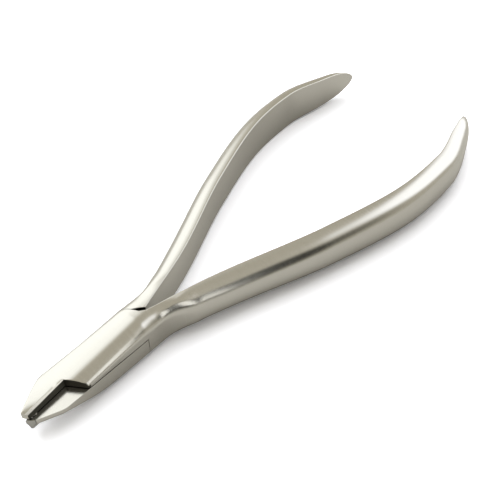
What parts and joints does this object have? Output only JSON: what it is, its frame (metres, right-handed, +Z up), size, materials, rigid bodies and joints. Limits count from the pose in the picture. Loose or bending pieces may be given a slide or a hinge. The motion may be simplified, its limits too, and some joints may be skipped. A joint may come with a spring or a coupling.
{
  "type": "orthodontic distal end cutter pliers",
  "caption": "Slim satin steel orthodontic cutting pliers with a flat lap joint, long bowed handles and turned-down tips that shear wire across the end.",
  "frame": {"origin": "middle of the length, on the handles' centre line, at the level of the handles' lower edges, on which the tool lies", "axes": "+X from the tips to the handle ends, +Y towards the left handle as seen from above with the tips ahead, +Z up along the pivot"},
  "size_m": [0.1301, 0.0528, 0.0099],
  "materials": {
    "satin_steel": "satin, finely brushed",
    "carbide": "fine ground"
  },
  "bodies": {
    "upper": {"upper_arm": "satin_steel", "pivot_screw": "satin_steel", "rear_blade": "carbide"},
    "lower": {"lower_arm": "satin_steel", "front_blade": "carbide"}
  },
  "joints": [
    {"name": "pivot", "type": "hinge", "parent": "upper", "child": "lower", "pos_m": [-0.047, 0.00078, 0.00498], "axis": [0, 0, 1], "range_deg": [0, 22]}
  ]
}
